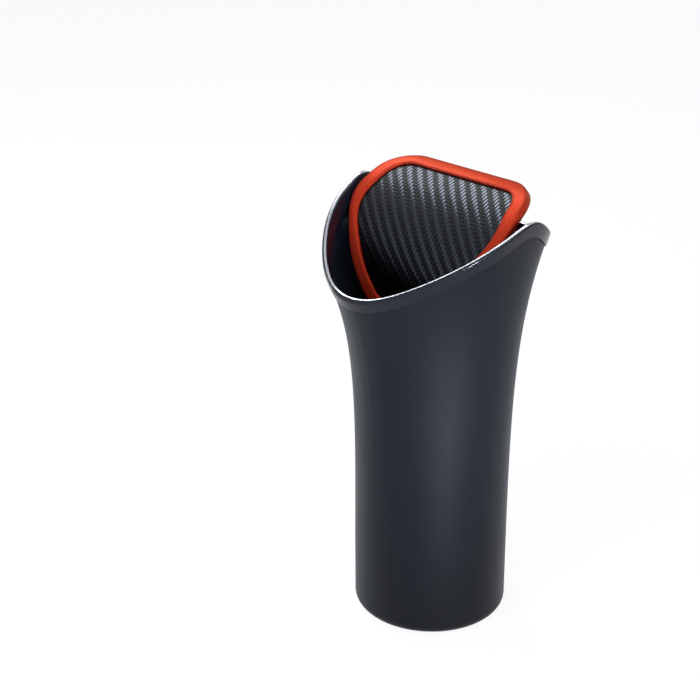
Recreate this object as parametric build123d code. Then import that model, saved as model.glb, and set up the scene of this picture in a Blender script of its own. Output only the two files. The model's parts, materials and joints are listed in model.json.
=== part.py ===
from build123d import *
import os
from math import copysign, cos, pi, radians, sin

# A car trash bin: a flared tub, a rim collar with a saddle-shaped edge, and an arched lid that swings on
# two pins. Millimetres, +Z up, origin at the centre of the base. The lid's axis runs along X and the low
# front of the mouth faces -Y. The lid is stored swung open.

# Tub
FOOT_RADIUS = 33.0
FOOT_ROUNDING = 4.5
FOOT_RECESS_RADIUS = 25.0
FOOT_RECESS_DEPTH = 0.8
FLOOR_THICKNESS = 2.4
WALL = 1.6

# Flare: how far the tub widens between FLARE_START and FLARE_TOP, and how late it does so
FLARE_START = 30.0
FLARE_TOP = 190.0
SIDE_FLARE = 18.25
SIDE_POWER = 3.6
FRONT_FLARE = 45.6
FRONT_POWER = 4.5
BACK_FLARE = 4.0
BACK_POWER = 3.0
SWELL = 1.0
MIDDLE_SHIFT = 8.6
MIDDLE_POWER = 8.6
FRONT_PULL = 0.074
FRONT_PULL_POWER = 1.2
BACK_SQUARENESS = 1.6
BACK_SQUARE_POWER = 5.0

# Saddle-shaped rim: its two peaks, and its fall from there over each reach
RIM_PEAK = 184.7
RIM_PEAK_Y = 5.4
FRONT_REACH = 50.0
FRONT_FALL = 29.2
FRONT_FALL_POWER = 1.355
BACK_REACH = 32.0
BACK_FALL = 14.3
BACK_FALL_POWER = 1.45

# Rim collar
COLLAR_HEIGHT = 6.5
COLLAR_PROUD = 0.6
COLLAR_ROUNDING = 1.2
COLLAR_SEAT_GAP = 0.2
COLLAR_INSIDE = 2.1
DECK_TOP = 168.0
DECK_THICKNESS = 1.8
DECK_FRONT = 22.5
DECK_WALL_GAP = 0.3
DECK_ROOT = 0.9
DECK_ROOT_START = 0.9

# Pivot
PIVOT_Y = -3.0
PIVOT_Z = 172.2
PIN_RADIUS = 1.5
PIN_CLEARANCE = 0.05
PIN_WALL_GAP = 1.3
PIN_PAST_EAR = 1.0
PIN_CHAMFER = 0.3
BOSS_RADIUS = 2.5
BOSS_LENGTH = 4.4
BRACKET_THICKNESS = 1.0
BRACKET_WALL_GAP = 0.3
BRACKET_ROOT = 1.5

# Lid, as it lies level: an arch about X with its crown behind and above the pivot
LID_OPEN_ANGLE = 43.3
ARCH_RADIUS = 47.4
CROWN_BEHIND_PIVOT = 5.7
CROWN_ABOVE_PIVOT = 6.7
CROWN_Y = PIVOT_Y + CROWN_BEHIND_PIVOT
ARCH_CENTRE_Z = PIVOT_Z + CROWN_ABOVE_PIVOT - ARCH_RADIUS

# Corners of the lid's outline: arc length from the crown, and inset from the tub's side at the pivot
LID_BACK_ARC = 25.9
LID_BACK_INSET = 6.7
LID_MIDDLE_ARC = 4.0
LID_MIDDLE_INSET = 0.9
LID_FLANK_ARC = 30.9
LID_FLANK_INSET = 14.3
LID_FRONT_ARC = 48.6
LID_FRONT_INSET = 25.4
LID_NOSE_ARC = 52.6
LID_BACK_CORNER = 17.4
LID_MIDDLE_CORNER = 24.0
LID_FLANK_CORNER = 60.0
LID_FRONT_CORNER = 13.5
LID_NOSE_CORNER = 60.0

# Trim frame: the strip round its window, along the arc and sideways
STRIP_BACK = 6.6
STRIP_BACK_SIDE = 5.5
STRIP_MIDDLE = -3.0
STRIP_MIDDLE_SIDE = 5.2
STRIP_FLANK_SIDE = 7.2
STRIP_FRONT = 7.2
STRIP_FRONT_SIDE = 4.7
WINDOW_BACK_CORNER = 10.0
WINDOW_MIDDLE_CORNER = 20.0
WINDOW_FLANK_CORNER = 40.0
WINDOW_FRONT_CORNER = 6.0
WINDOW_NOSE_CORNER = 60.0
FRAME_DEPTH = 3.4
FRAME_TOP_THICKNESS = 2.0
FRAME_WALL = 1.3
FRAME_ROUNDING = 0.6
INLAY_RECESS = 0.9
INLAY_CLEARANCE = 0.1
CARRIER_CLEARANCE = 0.1
CARRIER_THICKNESS = 1.3

# Pivot ears under the lid
EAR_BOSS_GAP = 0.4
EAR_LENGTH = 9.6
EAR_RADIUS = 3.1

# Construction aids
STATIONS = 31
LEVELS = 8
SEAM = 0.02
BEYOND = 80.0
NOSE_EDGE_SHARE = 0.8


def flare(height, reach, power):
    """How far the tub reaches one way from its axis at one height."""
    rise = (height - FLARE_START) / (FLARE_TOP - FLARE_START)
    swell = SWELL * 4 * rise**2 * max(0.0, 1 - rise)
    return FOOT_RADIUS + swell + reach * rise**power


def tub_side(height):
    """Half the tub's width along the pivot axis."""
    return flare(height, SIDE_FLARE, SIDE_POWER)


def eased(value, power):
    """A power that keeps the sign."""
    return copysign(abs(value)**power, value)


def tub_point(angle, outset, height):
    """A point of the tub's surface, grown by outset: round low down, pointed in front and square behind on top."""
    rise = (height - FLARE_START) / (FLARE_TOP - FLARE_START)
    middle = -MIDDLE_SHIFT * rise**MIDDLE_POWER
    half_width = tub_side(height) + outset
    if sin(angle) > 0:
        back = flare(height, BACK_FLARE, BACK_POWER) - middle + outset
        power = 2 / (2 + BACK_SQUARENESS * rise**BACK_SQUARE_POWER)
        return Vector(half_width * eased(cos(angle), power), middle + back * sin(angle)**power, height)
    front = flare(height, FRONT_FLARE, FRONT_POWER) + middle + outset
    pull = 1 - FRONT_PULL * rise**FRONT_PULL_POWER * (1 - cos(4 * angle)) / 2
    return Vector(half_width * cos(angle) * pull, middle + front * sin(angle) * pull, height)


def rim_height(y):
    """Height of the rim's saddle at one place from front to back."""
    if y < RIM_PEAK_Y:
        return RIM_PEAK - FRONT_FALL * ((RIM_PEAK_Y - y) / FRONT_REACH)**FRONT_FALL_POWER
    turn = min(1.0, (y - RIM_PEAK_Y) / BACK_REACH) * pi / 2
    return RIM_PEAK - BACK_FALL * sin(turn)**BACK_FALL_POWER


def rim_point(angle, outset, drop):
    """The point at one angle where the tub, grown by outset, meets the rim's saddle lowered by drop."""
    height = RIM_PEAK - drop
    for _ in range(40):
        height = rim_height(tub_point(angle, outset, height).Y) - drop
    return tub_point(angle, outset, height)


def flank_curve(angle, outset, drop, seam):
    """The line of the flank at one angle, from the start of the flare up to the lowered rim."""
    top = rim_point(angle, outset, drop)
    points = [tub_point(angle, outset + seam, FLARE_START)]
    for level in range(1, LEVELS):
        height = FLARE_START + (top.Z - FLARE_START) * level / LEVELS
        points.append(tub_point(angle, outset, height))
    points.append(top)
    return Edge.make_spline(points, parameters=list(range(LEVELS + 1)))


def around(section):
    """A closed band: one section drawn at every station of one side, lofted, and mirrored to the other side."""
    angles = [radians(-90 + 180 * step / (STATIONS - 1)) for step in range(STATIONS)]
    half = Solid.make_loft([Wire(section(angle)) for angle in angles])
    return Part() + [half, half.mirror(Plane.YZ)]


def rounded(before, corner, after, radius):
    """The rounding of one corner of a section."""
    start = corner + (before - corner).normalized() * radius
    end = corner + (after - corner).normalized() * radius
    return Edge.make_bezier(start, corner, end)


def pin_end():
    """How far from the middle a pin reaches."""
    return tub_side(PIVOT_Z) - WALL - PIN_WALL_GAP


def boss_end():
    """How far from the middle the boss of a pin begins."""
    return pin_end() - BOSS_LENGTH


def ear_ends():
    """How far from the middle a pivot ear begins and ends."""
    outer_end = boss_end() - EAR_BOSS_GAP
    return outer_end - EAR_LENGTH, outer_end


def along_x(radius, inner_end, outer_end, side):
    """A cylinder on the pivot axis, between two distances from the middle, on one side."""
    middle = side * (inner_end + outer_end) / 2
    return Pos(middle, PIVOT_Y, PIVOT_Z) * Rot(0, 90, 0) * Cylinder(radius, outer_end - inner_end)


def wall_section(angle):
    """The tub's wall at one angle, from the start of the flare to the collar's seat."""
    drop = COLLAR_HEIGHT + COLLAR_SEAT_GAP
    outer = flank_curve(angle, 0, drop, SEAM)
    inner = flank_curve(angle, -WALL, drop, -SEAM)
    ends = [Edge.make_line(outer @ 0, inner @ 0), Edge.make_line(outer @ 1, inner @ 1)]
    return [outer, inner] + ends


def make_tub():
    cup = Pos(0, 0, FLARE_START / 2) * Cylinder(FOOT_RADIUS, FLARE_START)
    cup = fillet(cup.edges().sort_by(Axis.Z)[0], FOOT_ROUNDING)
    depth = FLARE_START - FLOOR_THICKNESS
    hollow = Pos(0, 0, FLOOR_THICKNESS + depth / 2) * Cylinder(FOOT_RADIUS - WALL, depth)
    hollow = fillet(hollow.edges().sort_by(Axis.Z)[0], FOOT_ROUNDING - WALL)
    recess = Pos(0, 0, FOOT_RECESS_DEPTH / 2) * Cylinder(FOOT_RECESS_RADIUS, FOOT_RECESS_DEPTH)
    return cup - hollow - recess + around(wall_section)


def lip_section(angle):
    """The lip at one angle: it closes the tub's edge, a little proud of the tub, and is rounded on top."""
    bottom_inner = rim_point(angle, -COLLAR_INSIDE, COLLAR_HEIGHT)
    bottom_outer = rim_point(angle, COLLAR_PROUD, COLLAR_HEIGHT)
    top_outer = rim_point(angle, COLLAR_PROUD, 0)
    top_inner = rim_point(angle, -COLLAR_INSIDE, 0)
    outer = rounded(bottom_outer, top_outer, top_inner, COLLAR_ROUNDING)
    inner = rounded(top_outer, top_inner, bottom_inner, COLLAR_ROUNDING)
    return [
        Edge.make_line(bottom_inner, bottom_outer),
        Edge.make_line(bottom_outer, outer @ 0),
        outer,
        Edge.make_line(outer @ 1, inner @ 0),
        inner,
        Edge.make_line(inner @ 1, bottom_inner),
    ]


def deck_edge(angle):
    """The deck's edge: clear of the tub's wall, and rooted in the lip along the straight back."""
    root = DECK_ROOT * max(0.0, (sin(angle) - DECK_ROOT_START) / (1 - DECK_ROOT_START))
    point = tub_point(angle, root - WALL - DECK_WALL_GAP, DECK_TOP - DECK_THICKNESS)
    return (point.X, point.Y)


def make_deck():
    """The shelf across the back of the mouth that the lid's back edge comes down on."""
    edge = Spline([deck_edge(pi * step / (2 * STATIONS)) for step in range(2 * STATIONS + 1)])
    shelf = extrude(make_face([edge, Line(edge @ 1, edge @ 0)]), DECK_THICKNESS, dir=(0, 0, 1))
    shelf = Pos(0, 0, DECK_TOP - DECK_THICKNESS) * shelf
    return shelf & Pos(0, DECK_FRONT + BEYOND, DECK_TOP) * Box(4 * BEYOND, 2 * BEYOND, 2 * BEYOND)


def make_bracket(side):
    """A boss for one pivot pin, on a short plate that hangs from the lip along the tub's wall."""
    top = rim_height(PIVOT_Y) - COLLAR_HEIGHT + BRACKET_ROOT
    bottom = PIVOT_Z - BOSS_RADIUS

    def wall(height):
        return side * (tub_side(height) - WALL - BRACKET_WALL_GAP)

    thick = side * BRACKET_THICKNESS
    plate = Polygon(
        (wall(PIVOT_Z), PIVOT_Z),
        (wall(top), top),
        (wall(top) - thick, top),
        (wall(PIVOT_Z) - thick, PIVOT_Z),
        align=None,
    )
    room = Polygon((0, bottom), (wall(bottom), bottom), (wall(top), top), (0, top), align=None)
    across = Plane.XZ.offset(-PIVOT_Y)
    bracket = extrude(across * plate, BOSS_RADIUS, both=True)
    bracket += along_x(BOSS_RADIUS, boss_end(), tub_side(PIVOT_Z), side)
    bracket &= extrude(across * room, BOSS_RADIUS, both=True)
    return bracket - along_x(PIN_RADIUS + PIN_CLEARANCE, 0, BEYOND, side)


def make_collar():
    """The lip with the deck and the two pivot brackets that hang from it inside the mouth."""
    return around(lip_section) + make_deck() + make_bracket(-1) + make_bracket(1)


def arch(depth_from, depth_to):
    """The lid's arch between two depths under its outer face, without its outline."""
    place = Pos(0, CROWN_Y, ARCH_CENTRE_Z) * Rot(0, 90, 0)
    outer = Cylinder(ARCH_RADIUS - depth_from, 2 * BEYOND)
    return place * (outer - Cylinder(ARCH_RADIUS - depth_to, 2 * BEYOND))


def plan(arc):
    """How far from the crown a point at this arc length lies, seen from above."""
    return ARCH_RADIUS * sin(arc / ARCH_RADIUS)


def across(arc, inset):
    """A corner of the lid seen from above, from its arc length in front of the crown and its inset at the side."""
    return (tub_side(PIVOT_Z) - inset, CROWN_Y - plan(arc))


def rounded_outline(half, nose_arc, roundings, inset):
    """An outline that is the same on both sides, from its corners on one side, back to front, and its nose.

    The nose's rounding stays within the edges that meet there.
    """
    nose_y = CROWN_Y - plan(nose_arc)
    outline = Polygon(half + [(0, nose_y)] + [(-x, y) for x, y in reversed(half)], align=None)
    front_x, front_y = half[-1]
    nose_limit = NOSE_EDGE_SHARE * front_x**2 / abs(front_y - nose_y)
    roundings = [min(roundings[0], nose_limit)] + roundings[1:]
    for group, radius in zip(outline.vertices().group_by(Axis.Y), roundings):
        outline = fillet([match(outline, corner) for corner in group], radius)
    if inset:
        outline = offset(outline, -inset)
    return outline


def lid_outline(inset):
    """The lid seen from above: a wide straight back, and flanks that narrow to the front."""
    half = [
        across(-LID_BACK_ARC, LID_BACK_INSET),
        across(LID_MIDDLE_ARC, LID_MIDDLE_INSET),
        across(LID_FLANK_ARC, LID_FLANK_INSET),
        across(LID_FRONT_ARC, LID_FRONT_INSET),
    ]
    roundings = [LID_NOSE_CORNER, LID_FRONT_CORNER, LID_FLANK_CORNER, LID_MIDDLE_CORNER, LID_BACK_CORNER]
    return rounded_outline(half, LID_NOSE_ARC, roundings, inset)


def window_outline(inset):
    """The window in the trim frame seen from above."""
    half = [
        across(STRIP_BACK - LID_BACK_ARC, LID_BACK_INSET + STRIP_BACK_SIDE),
        across(LID_MIDDLE_ARC - STRIP_MIDDLE, LID_MIDDLE_INSET + STRIP_MIDDLE_SIDE),
        across(LID_FLANK_ARC, LID_FLANK_INSET + STRIP_FLANK_SIDE),
        across(LID_FRONT_ARC - STRIP_FRONT, LID_FRONT_INSET + STRIP_FRONT_SIDE),
    ]
    roundings = [
        WINDOW_NOSE_CORNER,
        WINDOW_FRONT_CORNER,
        WINDOW_FLANK_CORNER,
        WINDOW_MIDDLE_CORNER,
        WINDOW_BACK_CORNER,
    ]
    return rounded_outline(half, LID_NOSE_ARC - STRIP_FRONT, roundings, inset)


def match(outline, corner):
    """The outline's vertex nearest to a corner of the unrounded polygon."""
    return outline.vertices().sort_by_distance(corner)[0]


def column(outline):
    """An outline carried straight up through the whole lid."""
    return extrude(Pos(0, 0, ARCH_CENTRE_Z) * outline, BEYOND, dir=(0, 0, 1))


def make_frame():
    """The trim frame: a flat strip with an outer wall that reaches down over the carrier's edge."""
    ring = (arch(0, FRAME_DEPTH) & column(lid_outline(0))) - column(window_outline(0))
    top = ring.faces().filter_by(GeomType.CYLINDER).sort_by(lambda face: face.area)[-1]
    ring = fillet(top.edges(), FRAME_ROUNDING)
    return ring - (arch(FRAME_TOP_THICKNESS, ARCH_RADIUS / 2) & column(lid_outline(FRAME_WALL)))


def make_carrier():
    """The moulded plate under the frame and the inlay, with an ear for each pivot pin."""
    top_depth = FRAME_TOP_THICKNESS + CARRIER_CLEARANCE
    outline = lid_outline(FRAME_WALL + CARRIER_CLEARANCE)
    plate = arch(top_depth, top_depth + CARRIER_THICKNESS) & column(outline)
    below_plate = arch(top_depth + CARRIER_THICKNESS / 2, ARCH_RADIUS / 2)
    inner_end, outer_end = ear_ends()
    ear_middle = (inner_end + outer_end) / 2
    for side in (-1, 1):
        web = Pos(side * ear_middle, PIVOT_Y, PIVOT_Z + CROWN_ABOVE_PIVOT / 2)
        web = web * Box(EAR_LENGTH, 2 * EAR_RADIUS, CROWN_ABOVE_PIVOT)
        plate += (web & below_plate) + along_x(EAR_RADIUS, inner_end, outer_end, side)
        plate -= along_x(PIN_RADIUS, 0, outer_end + EAR_BOSS_GAP, side)
    return plate


def make_inlay():
    """The sheet that fills the frame's window, lying on the carrier."""
    return arch(INLAY_RECESS, FRAME_TOP_THICKNESS) & column(window_outline(INLAY_CLEARANCE))


def make_pin(side):
    """One pivot pin, fixed in its ear and running in its boss."""
    pin = along_x(PIN_RADIUS, ear_ends()[0] - PIN_PAST_EAR, pin_end(), side)
    return chamfer(pin.edges().filter_by(GeomType.CIRCLE), PIN_CHAMFER)


def swung_open(piece):
    """A piece of the level lid, turned about the pivot to where it is stored."""
    pivot = Axis((0, PIVOT_Y, PIVOT_Z), (1, 0, 0))
    return piece.rotate(pivot, LID_OPEN_ANGLE)


parts = {
    "bin_body": make_tub(),
    "rim_collar": make_collar(),
    "lid_carrier": swung_open(make_carrier()),
    "lid_frame": swung_open(make_frame()),
    "carbon_inlay": swung_open(make_inlay()),
    "left_pivot_pin": swung_open(make_pin(-1)),
    "right_pivot_pin": swung_open(make_pin(1)),
}

os.makedirs("parts", exist_ok=True)
for name, piece in parts.items():
    export_step(piece, f"parts/{name}.step")
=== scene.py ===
import json
import math

import bpy
from mathutils import Euler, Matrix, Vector

# A car trash bin, dressed from its CAD nodes. Metres, +Z up, the low front of the mouth towards -Y, and the
# lid's pivot axis along X. The lid is stored swung open.

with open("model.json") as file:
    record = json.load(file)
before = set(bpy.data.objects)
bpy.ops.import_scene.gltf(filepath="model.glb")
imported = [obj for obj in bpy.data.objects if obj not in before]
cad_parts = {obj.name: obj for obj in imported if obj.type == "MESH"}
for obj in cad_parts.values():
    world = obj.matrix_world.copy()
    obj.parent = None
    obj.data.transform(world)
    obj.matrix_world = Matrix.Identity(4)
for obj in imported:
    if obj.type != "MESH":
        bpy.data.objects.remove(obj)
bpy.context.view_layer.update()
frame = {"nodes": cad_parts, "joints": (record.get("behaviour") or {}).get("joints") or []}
nodes = frame["nodes"]

# Lid: its pivot, how far it is swung open, and the arch that the weave follows
PIVOT = Vector(frame["joints"][0]["pos_m"])
LID_OPEN_ANGLE = math.radians(43.3)
ARCH_RADIUS = 0.0474
CROWN_BEHIND_PIVOT = 0.0057
CROWN_ABOVE_PIVOT = 0.0067
ARCH_CENTRE_FROM_PIVOT = Vector((0, CROWN_BEHIND_PIVOT, CROWN_ABOVE_PIVOT - ARCH_RADIUS))

# Weave: a tow's width, the tows in one repeat of the twill, those that a tow passes over, the depth of the
# relief, the share of it that a tow drops to its edges, and the length of a fibre's streak for its width
TOW_WIDTH = 0.00154
TWILL_REPEAT = 4.0
PASSED_OVER = 2.0
WEAVE_DEPTH = 0.00022
TOW_DROP = 0.5
FIBRE_STRETCH = 9.0

# Shelf at the back of the mouth, which is left out of the painted highlight on the rim's crest
DECK_TOP = 0.168
DECK_FRONT = 0.0225
DECK_MARGIN = 0.0005
DECK_FRONT_MARGIN = 0.001

# Tub: how clearly its surface has to face the axis to count as its inside
INSIDE_MARGIN = 0.001

# Paint: how far the trim frame's edges are softened
PAINT_EDGE_RADIUS = 0.0026

# Floor: half its width, how far it lies under the bin, and how much of it shows as plain white
FLOOR_REACH = 6.0
FLOOR_DROP = 0.0002
FLOOR_WHITE_SHARE = 0.9
FLOOR_COLOUR = (0.86, 0.86, 0.86, 1)

# Soft light all round: its colour, and its strength at the horizon and overhead
SKY_COLOUR = (0.96, 0.98, 1.0, 1)
SKY_AT_HORIZON = 0.3
SKY_OVERHEAD = 0.75

# Camera, with its turn in degrees and its lens in millimetres
CAMERA_PLACE = (0.41692, -0.40878, 0.36029)
CAMERA_TURN = (67.4847, 0.3742, 48.815)
CAMERA_LENS = 77.804
CAMERA_SENSOR = 36.0
CAMERA_CLIP = (0.01, 50.0)

WHITE = (1, 1, 1, 1)


def empty_tree(owner, output_kind):
    """A cleared node tree, and the surface socket of its new output."""
    owner.use_nodes = True
    tree = owner.node_tree
    tree.nodes.clear()
    return tree, tree.nodes.new(output_kind).inputs["Surface"]


def new_material(name):
    """A material with a node tree that holds a Principled shader and an output, and nothing else."""
    material = bpy.data.materials.new(name)
    tree, surface = empty_tree(material, "ShaderNodeOutputMaterial")
    shader = tree.nodes.new("ShaderNodeBsdfPrincipled")
    tree.links.new(shader.outputs["BSDF"], surface)
    return material, tree, shader


def put(tree, socket, value):
    """Links a socket's source, or sets its constant."""
    if isinstance(value, bpy.types.NodeSocket):
        tree.links.new(value, socket)
    else:
        socket.default_value = value


def set_inputs(tree, owner, inputs):
    """Gives a node its inputs, by name or by number."""
    for key, value in inputs.items():
        put(tree, owner.inputs[key], value)


def node(tree, kind, inputs, **settings):
    """A node with its settings and its inputs."""
    made = tree.nodes.new(kind)
    for key, value in settings.items():
        setattr(made, key, value)
    set_inputs(tree, made, inputs)
    return made


def calc(tree, operation, first, second=0.0, third=0.0):
    """One arithmetic step."""
    return node(tree, "ShaderNodeMath", {0: first, 1: second, 2: third}, operation=operation).outputs[0]


def blend(tree, factor, low, high):
    """A number between low and high."""
    return node(tree, "ShaderNodeMix", {"Factor": factor, 2: low, 3: high}).outputs[0]


def tint(tree, factor, low, high):
    """A colour between low and high."""
    return node(tree, "ShaderNodeMix", {"Factor": factor, 6: low, 7: high}, data_type="RGBA").outputs[2]


def spread(tree, value, low, high, from_low=0.3, from_high=0.7):
    """A number carried from one range, by default a noise's usual one, to another."""
    inputs = {"Value": value, "From Min": from_low, "From Max": from_high, "To Min": low, "To Max": high}
    return node(tree, "ShaderNodeMapRange", inputs).outputs["Result"]


def place(tree):
    """Position on the piece, which moves with it."""
    return node(tree, "ShaderNodeTexCoord", {}).outputs["Object"]


def split(tree, vector):
    """A vector's X, Y and Z."""
    return node(tree, "ShaderNodeSeparateXYZ", {"Vector": vector}).outputs


def facing(tree):
    """The surface's own normal."""
    return node(tree, "ShaderNodeNewGeometry", {}).outputs["Normal"]


def noise(tree, vector, scale, detail=2.0):
    """Soft cloudy variation."""
    inputs = {"Vector": vector, "Scale": scale, "Detail": detail}
    return node(tree, "ShaderNodeTexNoise", inputs).outputs["Fac"]


def relief(tree, shader, height, depth, strength, edge_radius=0.0):
    """Fine relief, on edges that may be softened."""
    bump = node(tree, "ShaderNodeBump", {"Height": height, "Distance": depth, "Strength": strength})
    if edge_radius:
        soft = node(tree, "ShaderNodeBevel", {"Radius": edge_radius}, samples=6)
        tree.links.new(soft.outputs["Normal"], bump.inputs["Normal"])
    tree.links.new(bump.outputs["Normal"], shader.inputs["Normal"])


def inner_side(tree, where):
    """One where the surface faces the bin's axis."""
    flat = node(tree, "ShaderNodeVectorMath", {0: where, 1: (1, 1, 0)}, operation="MULTIPLY").outputs[0]
    away = node(tree, "ShaderNodeVectorMath", {0: flat, 1: facing(tree)}, operation="DOT_PRODUCT")
    return calc(tree, "LESS_THAN", away.outputs["Value"], -INSIDE_MARGIN)


def satin_black():
    """Moulded plastic: satin and finely grained outside, glossier inside the tub."""
    material, tree, shader = new_material("satin_black")
    deep, pale = (0.0013, 0.0021, 0.0044, 1), (0.0020, 0.0030, 0.0058, 1)
    inside_roughness = 0.2
    where = place(tree)
    drift = noise(tree, where, scale=22.0)
    outside_roughness = spread(tree, drift, low=0.44, high=0.5)
    roughness = blend(tree, inner_side(tree, where), outside_roughness, inside_roughness)
    set_inputs(tree, shader, {
        "Base Color": tint(tree, drift, deep, pale),
        "Roughness": roughness,
        "Specular IOR Level": 0.15,
        "Sheen Weight": 0.04,
        "Sheen Roughness": 0.4,
        "Sheen Tint": (0.55, 0.75, 1.0, 1),
    })
    relief(tree, shader, noise(tree, where, scale=2600.0, detail=3.0), depth=0.00003, strength=0.25)
    return material


def crest_highlight_mask(tree, where):
    """Mask of a painted highlight: one along the top of the rim, and zero or less on its sides and on the
    shelf.
    """
    axes = split(tree, where)
    low = calc(tree, "LESS_THAN", axes["Z"], DECK_TOP + DECK_MARGIN)
    behind = calc(tree, "GREATER_THAN", axes["Y"], DECK_FRONT - DECK_FRONT_MARGIN)
    upward = spread(tree, split(tree, facing(tree))["Z"], low=0.0, high=1.0, from_low=0.78, from_high=0.92)
    return calc(tree, "SUBTRACT", upward, calc(tree, "MULTIPLY", low, behind))


def gloss_black():
    """Polished moulded plastic, with a painted highlight: a pale metallic line along the crest of the rim.
    """
    material, tree, shader = new_material("gloss_black")
    # The pale, metallic, smooth colour along the rim's crest is a painted highlight.
    deep, pale, highlight_colour = (0.0026, 0.0036, 0.0070, 1), (0.0036, 0.0048, 0.0090, 1), (0.42, 0.44, 0.47, 1)
    highlight_metallic, highlight_roughness = 0.9, 0.1
    where = place(tree)
    crest = crest_highlight_mask(tree, where)
    plain = tint(tree, noise(tree, where, scale=30.0), deep, pale)
    plain_roughness = spread(tree, noise(tree, where, scale=60.0), low=0.16, high=0.24)
    set_inputs(tree, shader, {
        "Base Color": tint(tree, crest, plain, highlight_colour),
        "Metallic": calc(tree, "MULTIPLY", crest, highlight_metallic),
        "Roughness": blend(tree, crest, plain_roughness, highlight_roughness),
        "Specular IOR Level": 0.24,
    })
    relief(tree, shader, noise(tree, where, scale=350.0), depth=0.00004, strength=0.12)
    return material


def matte_black():
    """The carrier's eroded moulding texture."""
    material, tree, shader = new_material("matte_black")
    deep, pale = (0.009, 0.009, 0.01, 1), (0.016, 0.016, 0.018, 1)
    grain = noise(tree, place(tree), scale=1500.0, detail=3.0)
    set_inputs(tree, shader, {
        "Base Color": tint(tree, grain, deep, pale),
        "Roughness": spread(tree, grain, low=0.5, high=0.68),
    })
    relief(tree, shader, grain, depth=0.00006, strength=0.35)
    return material


def red_paint():
    """Orange-red metallic paint: fine flakes under a satin clear coat."""
    material, tree, shader = new_material("red_paint")
    deep, pale = (0.235, 0.016, 0.0065, 1), (0.305, 0.025, 0.0105, 1)
    where = place(tree)
    cells = node(tree, "ShaderNodeTexVoronoi", {"Vector": where, "Scale": 5200.0})
    flake = node(tree, "ShaderNodeSeparateColor", {"Color": cells.outputs["Color"]}).outputs[0]
    set_inputs(tree, shader, {
        "Base Color": tint(tree, flake, deep, pale),
        "Roughness": spread(tree, noise(tree, where, scale=90.0), low=0.32, high=0.38),
        "Metallic": 0.45,
        "Specular IOR Level": 0.03,
        "Specular Tint": (1.0, 0.6, 0.4, 1),
        "Coat Weight": 0.015,
        "Coat Roughness": 0.12,
    })
    orange_peel = noise(tree, where, scale=900.0)
    relief(tree, shader, orange_peel, depth=0.00003, strength=0.1, edge_radius=PAINT_EDGE_RADIUS)
    return material


def level_lid(tree):
    """Position on the lid as it lies level, from the axis of its arch."""
    turn = Euler((-LID_OPEN_ANGLE, 0, 0))
    shift = -(turn.to_matrix() @ PIVOT) - ARCH_CENTRE_FROM_PIVOT
    mapping = {"Vector": place(tree), "Location": shift, "Rotation": turn}
    return split(tree, node(tree, "ShaderNodeMapping", mapping).outputs["Vector"])


def tow_run(tree, along, neighbour, middle):
    """Place along the stretch of a tow that lies on top, from -1 to 1."""
    stepped = calc(tree, "FLOORED_MODULO", calc(tree, "ADD", along, neighbour), TWILL_REPEAT)
    return calc(tree, "SUBTRACT", stepped, middle)


def tow_side(tree, across):
    """Place across a tow, from -1 to 1."""
    return calc(tree, "MULTIPLY_ADD", calc(tree, "FRACT", across), 2.0, -1.0)


def fallen(tree, top, place_on_tow):
    """A height that falls away from the middle of a tow."""
    return calc(tree, "MULTIPLY_ADD", calc(tree, "MULTIPLY", place_on_tow, place_on_tow), -TOW_DROP, top)


def carbon_weave():
    """Two-by-two twill under a thin clear coat: tows along X and along the lid's arch, with a painted sheen
    on the warp and painted shade where the tows dip.
    """
    material, tree, shader = new_material("carbon_weave")
    # Each tow's colour darkens towards its edges, where it dips under its neighbours: painted shade.
    dip_shade, worn = (0.002, 0.002, 0.0025, 1), (0.016, 0.018, 0.022, 1)
    # Warp and weft are the same fibre: the warp's paler base is a painted sheen, the weft's darker one
    # painted shade.
    weft, warp = (0.0075, 0.0085, 0.011, 1), (0.044, 0.050, 0.064, 1)
    weft_roughness = 0.55
    axes = level_lid(tree)
    along_x = calc(tree, "DIVIDE", axes["X"], TOW_WIDTH)
    angle = calc(tree, "ARCTAN2", axes["Y"], axes["Z"])
    along_arch = calc(tree, "MULTIPLY", angle, ARCH_RADIUS / TOW_WIDTH)
    column = calc(tree, "FLOOR", along_x)
    row = calc(tree, "FLOOR", along_arch)
    turn_of_four = calc(tree, "FLOORED_MODULO", calc(tree, "ADD", column, row), TWILL_REPEAT)
    warp_on_top = calc(tree, "LESS_THAN", turn_of_four, PASSED_OVER - 0.5)
    warp_run = tow_run(tree, along_arch, column, middle=PASSED_OVER / 2)
    weft_run = tow_run(tree, along_x, row, middle=TWILL_REPEAT - PASSED_OVER / 2)
    run = blend(tree, warp_on_top, weft_run, warp_run)
    side = blend(tree, warp_on_top, tow_side(tree, along_arch), tow_side(tree, along_x))
    height = fallen(tree, fallen(tree, 1.0, side), run)
    streaks = {"X": calc(tree, "MULTIPLY", side, FIBRE_STRETCH), "Y": run, "Z": column}
    fibre = noise(tree, node(tree, "ShaderNodeCombineXYZ", streaks).outputs[0], scale=3.0)
    tow = tint(tree, spread(tree, fibre, low=0.0, high=0.5), tint(tree, warp_on_top, weft, warp), worn)
    warp_roughness = spread(tree, fibre, low=0.2, high=0.3)
    set_inputs(tree, shader, {
        "Base Color": tint(tree, height, dip_shade, tow),
        "Roughness": blend(tree, warp_on_top, weft_roughness, warp_roughness),
        "Metallic": 1.0,
        "Coat Weight": 0.03,
        "Coat Roughness": 0.2,
    })
    relief(tree, shader, height, depth=WEAVE_DEPTH, strength=0.7)
    return material


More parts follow.
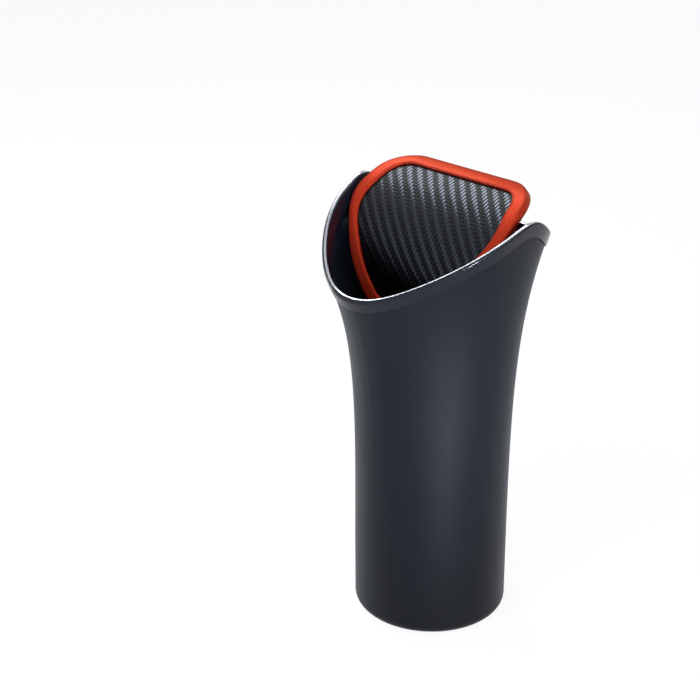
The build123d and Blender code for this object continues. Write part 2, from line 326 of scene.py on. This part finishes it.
def turned_steel():
    """Bright steel with the fine rings of turning."""
    material, tree, shader = new_material("turned_steel")
    deep, pale = (0.5, 0.5, 0.51, 1), (0.62, 0.62, 0.63, 1)
    wave = {"Vector": place(tree), "Scale": 900.0, "Distortion": 0.6}
    rings = node(tree, "ShaderNodeTexWave", wave, bands_direction="X").outputs["Fac"]
    set_inputs(tree, shader, {
        "Base Color": tint(tree, rings, deep, pale),
        "Roughness": spread(tree, rings, low=0.24, high=0.36, from_low=0.0, from_high=1.0),
        "Metallic": 1.0,
    })
    return material


def dress(name, material):
    """Gives a CAD node its material."""
    slots = nodes[name].data.materials
    slots.clear()
    slots.append(material)


def seen_directly(tree):
    """One for rays that come from the camera, a reflection or through glass."""
    path = node(tree, "ShaderNodeLightPath", {}).outputs
    seen = calc(tree, "MAXIMUM", path["Is Camera Ray"], path["Is Glossy Ray"])
    return calc(tree, "MAXIMUM", seen, path["Is Transmission Ray"])


def make_floor():
    """A wide pale floor that shows white and keeps a soft shadow."""
    mesh = bpy.data.meshes.new("floor")
    corners = [(x * FLOOR_REACH, y * FLOOR_REACH, 0) for x, y in ((-1, -1), (1, -1), (1, 1), (-1, 1))]
    mesh.from_pydata(corners, [], [(0, 1, 2, 3)])
    floor = bpy.data.objects.new("floor", mesh)
    floor.location.z = -FLOOR_DROP
    bpy.context.scene.collection.objects.link(floor)
    material = bpy.data.materials.new("floor_white")
    tree, surface = empty_tree(material, "ShaderNodeOutputMaterial")
    lit = node(tree, "ShaderNodeBsdfDiffuse", {"Color": FLOOR_COLOUR}).outputs[0]
    white = node(tree, "ShaderNodeEmission", {"Color": WHITE, "Strength": 1.0}).outputs[0]
    share = calc(tree, "MULTIPLY", seen_directly(tree), FLOOR_WHITE_SHARE)
    shown = node(tree, "ShaderNodeMixShader", {"Fac": share, 1: lit, 2: white}).outputs[0]
    tree.links.new(shown, surface)
    mesh.materials.append(material)


def make_world():
    """Soft light, strongest from above, with a white backdrop where it is seen."""
    world = bpy.data.worlds.new("studio")
    tree, surface = empty_tree(world, "ShaderNodeOutputWorld")
    height = split(tree, node(tree, "ShaderNodeTexCoord", {}).outputs["Generated"])["Z"]
    level = spread(tree, height, low=SKY_AT_HORIZON, high=SKY_OVERHEAD, from_low=0.0, from_high=1.0)
    soft = node(tree, "ShaderNodeBackground", {"Color": SKY_COLOUR, "Strength": level}).outputs[0]
    white = node(tree, "ShaderNodeBackground", {"Color": WHITE, "Strength": 1.0}).outputs[0]
    shown = node(tree, "ShaderNodeMixShader", {"Fac": seen_directly(tree), 1: soft, 2: white}).outputs[0]
    tree.links.new(shown, surface)
    bpy.context.scene.world = world


def softbox(name, location, target, size, power, colour=(1, 1, 1), beam=180, reflected=True):
    """A rectangular area lamp that faces its target. Its beam is in degrees, and reflections may lack it."""
    lamp = bpy.data.lights.new(name, "AREA")
    lamp.shape = "RECTANGLE"
    lamp.size, lamp.size_y = size
    lamp.energy = power
    lamp.spread = math.radians(beam)
    lamp.color = colour
    holder = bpy.data.objects.new(name, lamp)
    holder.location = location
    holder.visible_glossy = reflected
    aim = Vector(target) - Vector(location)
    holder.rotation_euler = aim.to_track_quat("-Z", "Y").to_euler()
    bpy.context.scene.collection.objects.link(holder)


def make_lamps():
    """A key from behind on the left, strips for the tub's sides, a top light and a fill in front."""
    softbox(
        "back_left", location=(-0.72, 0.20, 0.86), target=(0, 0, 0.18), size=(0.46, 0.24), power=4.6,
        colour=(0.95, 0.97, 1.0),
    )
    softbox(
        "front_strip", location=(0.444, -0.23, 0.11), target=(0, 0, 0.11), size=(0.037, 0.095), power=0.2,
        colour=(0.92, 0.96, 1.0), beam=30,
    )
    softbox(
        "left_strip", location=(-0.87, -0.25, 0.08), target=(0, 0, 0.08), size=(0.2, 0.3), power=3.0,
        colour=(0.86, 0.93, 1.0),
    )
    softbox("overhead", location=(0.25, -0.25, 1.0), target=(0, 0, 0.15), size=(0.6, 0.6), power=1.4)
    softbox(
        "front_fill", location=(0.15, -0.72, 0.72), target=(0, 0, 0.15), size=(0.7, 0.7), power=8.0,
        reflected=False,
    )


def make_camera():
    """The photograph's viewpoint."""
    lens = bpy.data.cameras.new("camera")
    lens.sensor_width = CAMERA_SENSOR
    lens.lens = CAMERA_LENS
    lens.clip_start, lens.clip_end = CAMERA_CLIP
    camera = bpy.data.objects.new("camera", lens)
    camera.location = CAMERA_PLACE
    camera.rotation_euler = [math.radians(angle) for angle in CAMERA_TURN]
    bpy.context.scene.collection.objects.link(camera)
    bpy.context.scene.camera = camera


dress("bin_body", satin_black())
dress("rim_collar", gloss_black())
dress("lid_carrier", matte_black())
dress("lid_frame", red_paint())
dress("carbon_inlay", carbon_weave())
steel = turned_steel()
dress("left_pivot_pin", steel)
dress("right_pivot_pin", steel)

make_camera()
make_floor()
make_world()
make_lamps()
bpy.context.scene.view_settings.view_transform = "Standard"
